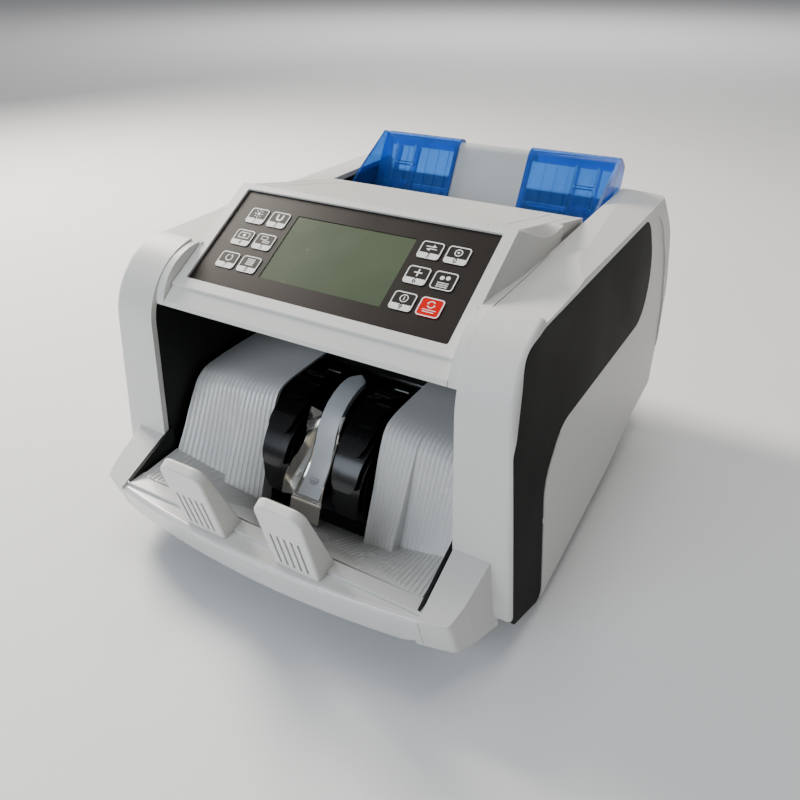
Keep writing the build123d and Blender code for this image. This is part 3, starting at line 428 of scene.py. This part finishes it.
ICON_V = 1.7
ICONS = {
    "key_1": [circle(1.0, 0, ICON_V)]
             + [bar(1.3, 0.45, 45 * k, 2.4 * math.cos(math.radians(45 * k)),
                    ICON_V + 2.4 * math.sin(math.radians(45 * k))) for k in range(8)],
    "key_2": [[(-2.4, ICON_V + 2.2), (-1.2, ICON_V + 2.2), (-1.2, ICON_V - 0.4), (-0.5, ICON_V - 1.1),
               (0.5, ICON_V - 1.1), (1.2, ICON_V - 0.4), (1.2, ICON_V + 2.2), (2.4, ICON_V + 2.2),
               (2.4, ICON_V - 0.9), (1.0, ICON_V - 2.3), (-1.0, ICON_V - 2.3), (-2.4, ICON_V - 0.9)]],
    "key_4": [rounded(7.4, 4.2, 0.5, 0, ICON_V), rounded(6.4, 3.2, 0.3, 0, ICON_V), circle(1.0, 0, ICON_V)],
    "key_5": [rounded(4.6, 2.6, 0.3, -1.0, ICON_V + 0.9), rounded(3.8, 1.8, 0.2, -1.0, ICON_V + 0.9),
              rounded(4.6, 1.6, 0.3, 1.2, ICON_V - 1.6), rounded(3.8, 0.8, 0.2, 1.2, ICON_V - 1.6)],
    "key_7": arc_arrow(2.1, 0.6, 110, 410, 0, ICON_V),
    "key_8": [bar(5.4, 0.6, 0, 0, ICON_V - 1.8 + 1.2 * k) for k in range(4)],
    "key_3": [[(-3.4, ICON_V + 0.9), (0.6, ICON_V + 0.9), (0.6, ICON_V + 2.1), (2.8, ICON_V + 0.6),
               (0.6, ICON_V - 0.2), (0.6, ICON_V + 0.3), (-3.4, ICON_V + 0.3)],
              [(3.4, ICON_V - 1.1), (-0.6, ICON_V - 1.1), (-0.6, ICON_V - 2.3), (-2.8, ICON_V - 1.3),
               (-0.6, ICON_V - 0.3), (-0.6, ICON_V - 0.6), (3.4, ICON_V - 0.6)]],
    "key_0": [circle(2.3, 0, ICON_V), circle(1.7, 0, ICON_V), circle(0.7, 0, ICON_V)],
    "key_6": [bar(4.6, 0.8, 0, 0, ICON_V), bar(1.9, 0.8, 90, 0, ICON_V + 1.35),
              bar(1.9, 0.8, 90, 0, ICON_V - 1.35)],
    "key_9": [circle(2.4, 0, ICON_V), circle(1.9, 0, ICON_V), bar(2.2, 0.5, 90, 0, ICON_V)],
    "key_batch": [circle(1.25, -1.7, 1.6), circle(1.25, 1.5, 2.0),
                  bar(6.4, 0.55, 0, 0, -1.4), bar(6.4, 0.55, 0, 0, -2.6), bar(6.4, 0.55, 0, 0, -3.8)],
}
START_MARK = arc_arrow(1.9, 0.55, 30, 165, 0, 1.6) + arc_arrow(1.9, 0.55, 210, 345, 0, 1.6)


def key_graphics(node):
    """White outline, icon and number band printed on one key."""
    body = BODY_OF[node]
    slot = SLOT_OF[node]
    place = panel_matrix(node, 0.012)
    width, height = KEY_SIZE
    frame_loops = [rounded(width - 0.1, height - 0.1, 1.95), rounded(width - 1.4, height - 1.4, 1.4)]
    printed(f"{node}_outline", frame_loops, place, body, "print_white", slot)
    if node == "key_start":
        printed(f"{node}_mark", START_MARK, place, body, "print_white", slot)
        rules = [bar(7.6, 0.4, 0, 0, -1.7), bar(6.4, 0.4, 0, 0, -2.9)]
        printed(f"{node}_rules", rules, place, body, "print_white", slot)
        return
    printed(f"{node}_icon", ICONS[node], place, body, "print_white", slot)
    if node == "key_batch":
        return
    band = [(x, y) for x, y in rounded(width - 1.2, height - 1.2, 1.4) if y < -2.0]
    band = [(-(width - 1.2) / 2, -1.9)] + band + [((width - 1.2) / 2, -1.9)]
    band.sort(key=lambda p: math.atan2(p[1] + 3.2, p[0]))
    printed(f"{node}_band", [band], place, body, "print_white", slot)
    digit(f"{node}_numeral", node[-1], 4.3, 0, -3.6, place, body, "print_black", slot)


for node in sorted(NODES):
    if node.startswith("key_"):
        key_graphics(node)


# ---- stacker ------------------------------------------------------------------------
RIB_PITCH = 3.0
RIB_HEIGHT = 0.6
PLATE_IN = 38.0
PLATE_OUT = 96.4
PLATE_SKIN = 1.6
PAD_EDGE = (61.3, 61.7)
FOLD_IN = (-108.6, 23.9)
FOLD_OUT = (-124.7, 51.6)
STRIP_EDGE = (-153.2, 49.6)


def ridge(x):
    """Height of the fine ribbing at x: narrow rounded ridges."""
    phase = (x / RIB_PITCH) % 1.0
    return RIB_HEIGHT * max(0.0, 1 - abs(phase - 0.5) / 0.24) ** 0.6


def sheet(front, back):
    """Closed skin between two equal grids of points, given in mm."""
    front, back = np.asarray(front, float), np.asarray(back, float)
    columns, rows = front.shape[:2]
    total = columns * rows
    vertices = np.concatenate([front.reshape(-1, 3), back.reshape(-1, 3)]) * MM
    faces = grid_faces(columns, rows) + grid_faces(columns, rows, total, True)
    rim = [i * rows for i in range(columns)] + [(columns - 1) * rows + j for j in range(1, rows)]
    rim += [i * rows + rows - 1 for i in range(columns - 2, -1, -1)] + [j for j in range(rows - 2, 0, -1)]
    faces += [(a, b, b + total, a + total) for a, b in zip(rim, rim[1:] + rim[:1])]
    return [tuple(v) for v in vertices], faces


def joined(parts):
    """Several (vertices, faces) skins as one."""
    vertices, faces = [], []
    for points, loops in parts:
        faces += [tuple(k + len(vertices) for k in loop) for loop in loops]
        vertices += points
    return vertices, faces


def rib_columns(start, end):
    """Stations across the ribs, fine enough to draw each of them."""
    return np.arange(start, end + 0.01, 0.3)


def plate_profile(x, count):
    """Section of a stacker plate at a distance from the middle: (y, z) in mm from the fold to the rear edge."""
    inner = smooth_line([(-109.3, 24.4), (-104.8, 43), (-100, 61), (-96, 80), (-91.8, 91.5), (-83, 96.8),
                         (-60, 98.2), (-32, 98.6)], count)
    outer = smooth_line([(-124.9, 51.6), (-117.2, 63), (-109.8, 76), (-103.4, 86), (-98.5, 92.0),
                         (-89, 96.4), (-62, 98.2), (-32, 98.6)], count)
    t = (x - PLATE_IN) / (PLATE_OUT - PLATE_IN)
    return inner * (1 - t) + outer * t


def stacker_plate(node, side):
    """Ribbed back plate with a raised pad beside the wheel; the pad grows towards the floor."""
    rows = 64
    front, back = [], []
    for x in rib_columns(PLATE_IN, PLATE_OUT):
        line = plate_profile(x, rows)
        tangent = np.gradient(line, axis=0)
        normal = np.stack([-tangent[:, 1], tangent[:, 0]], 1)
        normal /= np.linalg.norm(normal, axis=1)[:, None]
        pad = 1 - step(x, *PAD_EDGE)
        t = np.arange(rows) / (rows - 1)
        lift = pad * (7.6 * np.clip(1 - t / 0.5, 0, 1) + 0.9 * np.clip(1 - (t - 0.5) / 0.2, 0, 1))
        fade = np.clip(1 - (t - 0.60) / 0.16, 0, 1)
        top = line + normal * (lift + ridge(x) * fade)[:, None]
        under = line - normal * PLATE_SKIN
        front.append([(side * x, y, z) for y, z in top])
        back.append([(side * x, y, z) for y, z in under])
    vertices, faces = sheet(front, back)
    piece(node + "_ribbed", vertices, faces, BODY_OF[node], SLOT_OF[node], (node,))


def tray_floor(side):
    """Ribbed floor between the front strip and a stacker plate; the ribs run out along a diagonal."""
    node = "stacker_tray"
    rows = 40
    front, back = [], []
    for x in rib_columns(0.0, PLATE_OUT + 0.5):
        t = min(max((x - PLATE_IN) / (PLATE_OUT - PLATE_IN), 0.0), 1.0)
        fold = np.array(FOLD_IN) * (1 - t) + np.array(FOLD_OUT) * t
        start = np.array(STRIP_EDGE)
        run_out = -139.5 - 15.5 * (x - PLATE_IN) / (PLATE_OUT - PLATE_IN)
        top, under = [], []
        for k in range(rows):
            y, z = start + (fold - start) * k / (rows - 1)
            height = ridge(x) * step(y, run_out - 1.2, run_out + 0.6) * step(x, 27, 28.5)
            top.append((side * x, y, z + 0.35 + height))
            under.append((side * x, y, z + 0.12))
        front.append(top)
        back.append(under)
    vertices, faces = sheet(front, back)
    piece(f"tray_floor_{'left' if side < 0 else 'right'}", vertices, faces, BODY_OF[node], SLOT_OF[node],
          finish="white_plastic")


def lathe(profile, centre, segments=40):
    """Closed ring round an axis along X, from a closed (x, r) outline in mm."""
    count = len(profile)
    vertices = []
    for k in range(segments):
        angle = 2 * math.pi * k / segments
        for x, r in profile:
            y = centre[0] + r * math.cos(angle)
            z = centre[1] + r * math.sin(angle)
            vertices.append((x * MM, y * MM, z * MM))
    faces = []
    for k in range(segments):
        for j in range(count):
            a, b = k * count + j, k * count + (j + 1) % count
            c, d = ((k + 1) % segments) * count + (j + 1) % count, ((k + 1) % segments) * count + j
            faces.append((a, b, c, d))
    return vertices, faces


BLADES = 12
BLADE_SWEEP = math.radians(165)
BLADE_LENGTH = 84
TIP_RADIUS = 5


def blade(start, x0, x1, centre, radius):
    """Thin curved blade from the hub almost round to the rim, with rounded tip corners."""
    rows, root, width = 30, 10.5, x1 - x0
    front, back = [], []
    for s in (0, 0.04, 0.1, 0.2, 0.5, 0.8, 0.9, 0.96, 1):
        edge = max(TIP_RADIUS - min(s, 1 - s) * width, 0.0)
        cut = (TIP_RADIUS - math.sqrt(TIP_RADIUS ** 2 - edge ** 2)) / BLADE_LENGTH
        outer, inner = [], []
        for k in range(rows):
            t = k / (rows - 1) * (1 - cut)
            r = root + (radius - root) * (0.5 * t + 0.5 * (1 - (1 - t) ** 1.8))
            a = start + BLADE_SWEEP * t
            pinch = 2.4 * step(t, 0.62, 1.0)
            x = x0 + pinch + (width - 2 * pinch) * s
            thick = 1.2 - 0.45 * t
            for line, reach in ((outer, r), (inner, r - thick)):
                line.append((x, centre[0] - reach * math.sin(a), centre[1] + reach * math.cos(a)))
        front.append(outer)
        back.append(inner)
    return sheet(front, back)


def impeller(node):
    """Hub with nested blades whose tips point down at the front."""
    low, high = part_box(node)
    centre = ((low.y + high.y) / 2 / MM, (low.z + high.z) / 2 / MM)
    radius = (high.z - low.z) / 2 / MM
    x0, x1 = low.x / MM, high.x / MM
    hub = [(x0 + 0.6, 4.1), (x0, 5.0), (x0, 9.4), (x0 + 1.2, 10.9), (x0 + 6, 11.3),
           (x1 - 6, 11.3), (x1 - 1.2, 10.9), (x1, 9.4), (x1, 5.0), (x1 - 0.6, 4.1)]
    parts = [lathe(hub, centre)]
    for k in range(BLADES):
        parts.append(blade(2 * math.pi * (k + 0.35) / BLADES, x0, x1, centre, radius))
    vertices, faces = joined(parts)
    piece(node + "_wheel", vertices, faces, BODY_OF[node], SLOT_OF[node], (node,))


def ruled(rear, front, thickness, rows=30, columns=7):
    """Sheet between two curves through (x, y, z) points."""
    rear, front = smooth_line(rear, rows), smooth_line(front, rows)
    grid = np.array([rear + (front - rear) * k / (columns - 1) for k in range(columns)])
    along = np.gradient(grid, axis=1)
    across = np.gradient(grid, axis=0)
    normal = np.cross(along, across)
    normal /= np.linalg.norm(normal, axis=2)[:, :, None]
    return sheet(grid, grid - normal * thickness)


def centre_bracket():
    """Polished channel: a sloping web with a front tongue, and a flared wing on each side."""
    node = "centre_bracket"
    root = [(6.6, -89.5, 89), (6.8, -94, 81), (7.2, -98.5, 71),
            (7.8, -103, 62), (8.6, -110, 53.5), (9.4, -118, 46.5)]
    edge = [(11.6, -93, 93.5), (11.2, -98.5, 86), (10.4, -103, 75),
            (12.2, -112, 67.5), (13.2, -119.5, 60.5), (13.3, -123.8, 50.0)]
    parts = []
    for side in (-1, 1):
        inner = [(side * x, y, z) for x, y, z in root]
        outer = [(side * x, y, z) for x, y, z in edge]
        parts.append(ruled(inner, outer, 0.7 * side))
    parts.append(ruled([(-x, y, z) for x, y, z in root[2:]], root[2:], 0.7))
    tongue = [(-118, 46.5), (-119.6, 44.8), (-120.6, 42.0), (-123.2, 34.2)]
    parts.append(ruled([(-10.6, y, z) for y, z in tongue], [(10.6, y, z) for y, z in tongue], 0.7))
    vertices, faces = joined(parts)
    piece("bracket_formed", vertices, faces, BODY_OF[node], SLOT_OF[node], (node,))


def centre_finger():
    """Curved grey finger from the bracket's screw up between the wheels."""
    node = "centre_finger"
    path = smooth_line([(-117.4, 47.9), (-110.2, 54.6), (-103.6, 62.6), (-99.2, 72), (-94.6, 82), (-86, 92),
                        (-73, 98.2), (-57, 100)], 40)
    tangent = np.gradient(path, axis=0)
    normal = np.stack([-tangent[:, 1], tangent[:, 0]], 1)
    normal /= np.linalg.norm(normal, axis=1)[:, None]
    front, back = [], []
    for s in (-1, -0.96, -0.85, -0.5, 0, 0.5, 0.85, 0.96, 1):
        top, under = [], []
        for k, (y, z) in enumerate(path):
            t = k / (len(path) - 1)
            half = 7.4 - 0.9 * step(t, 0.0, 0.35)
            end = math.sqrt(max(1 - ((t - 0.93) / 0.07) ** 2, 0.02)) if t > 0.93 else 1.0
            thick = 1.4 + 2.6 * step(t, 0.2, 0.45)
            dome = 0.5 * s ** 4
            ny, nz = normal[k]
            x = s * half * end
            top.append((x, y - ny * dome, z - nz * dome))
            under.append((x, y - ny * thick, z - nz * thick))
        front.append(top)
        back.append(under)
    vertices, faces = sheet(front, back)
    piece("finger_moulded", vertices, faces, BODY_OF[node], SLOT_OF[node], (node,))


for label, side in (("left", -1), ("right", 1)):
    stacker_plate(f"stacker_plate_{label}", side)
    tray_floor(side)
    impeller(f"impeller_{label}")
centre_bracket()
centre_finger()


# ---- studio -------------------------------------------------------------------------
def area_light(name, location, target, size, power, colour):
    """Soft rectangular lamp aimed at a point."""
    data = bpy.data.lights.new(name, "AREA")
    data.shape = "RECTANGLE"
    data.size, data.size_y = size
    data.energy = power
    data.color = colour
    lamp = bpy.data.objects.new(name, data)
    lamp.location = location
    lamp.rotation_euler = (Vector(target) - Vector(location)).to_track_quat("-Z", "Y").to_euler()
    bpy.context.scene.collection.objects.link(lamp)


def floor():
    """Wide pale floor under the object."""
    mesh = bpy.data.meshes.new("studio_floor")
    mesh.from_pydata([(-30, -30, 0), (30, -30, 0), (30, 30, 0), (-30, 30, 0)], [], [(0, 1, 2, 3)])
    mesh.update()
    item = bpy.data.objects.new("studio_floor", mesh)
    bpy.context.scene.collection.objects.link(item)
    mesh.materials.append(plastic("floor_paper", (0.86, 0.86, 0.86), 0.8, 600, 0.00005, 0.01, gloss=0.1))


floor()
middle = (CAD_BOX[0] + CAD_BOX[1]) / 2
area_light("key", (-1.15, 0.30, 0.95), middle, (0.45, 0.45), 34, (1.0, 0.94, 0.84))
area_light("fill", (-0.35, -1.45, 0.75), middle, (1.0, 0.7), 15, (0.80, 0.90, 1.0))
area_light("top", (0.1, 0.3, 1.5), middle, (0.9, 0.9), 9, (1.0, 0.97, 0.92))
area_light("wash", (-1.3, 3.2, 2.2), (-1.6, 3.8, 0.0), (3.0, 2.0), 75, (1.0, 0.99, 0.97))
world = bpy.data.worlds.new("studio")
bpy.context.scene.world = world
world.use_nodes = True
world.node_tree.nodes["Background"].inputs["Color"].default_value = (0.93, 0.95, 1.0, 1.0)
world.node_tree.nodes["Background"].inputs["Strength"].default_value = 0.21

lens = bpy.data.cameras.new("camera")
lens.sensor_width = 36.0
lens.lens = 32.805
lens.shift_x = -0.00625
lens.shift_y = -0.03125
camera = bpy.data.objects.new("camera", lens)
camera.location = (0.2187, -0.3790, 0.3211)
camera.rotation_euler = (math.radians(60.35), 0.0, math.radians(30.26))
bpy.context.scene.collection.objects.link(camera)
bpy.context.scene.camera = camera
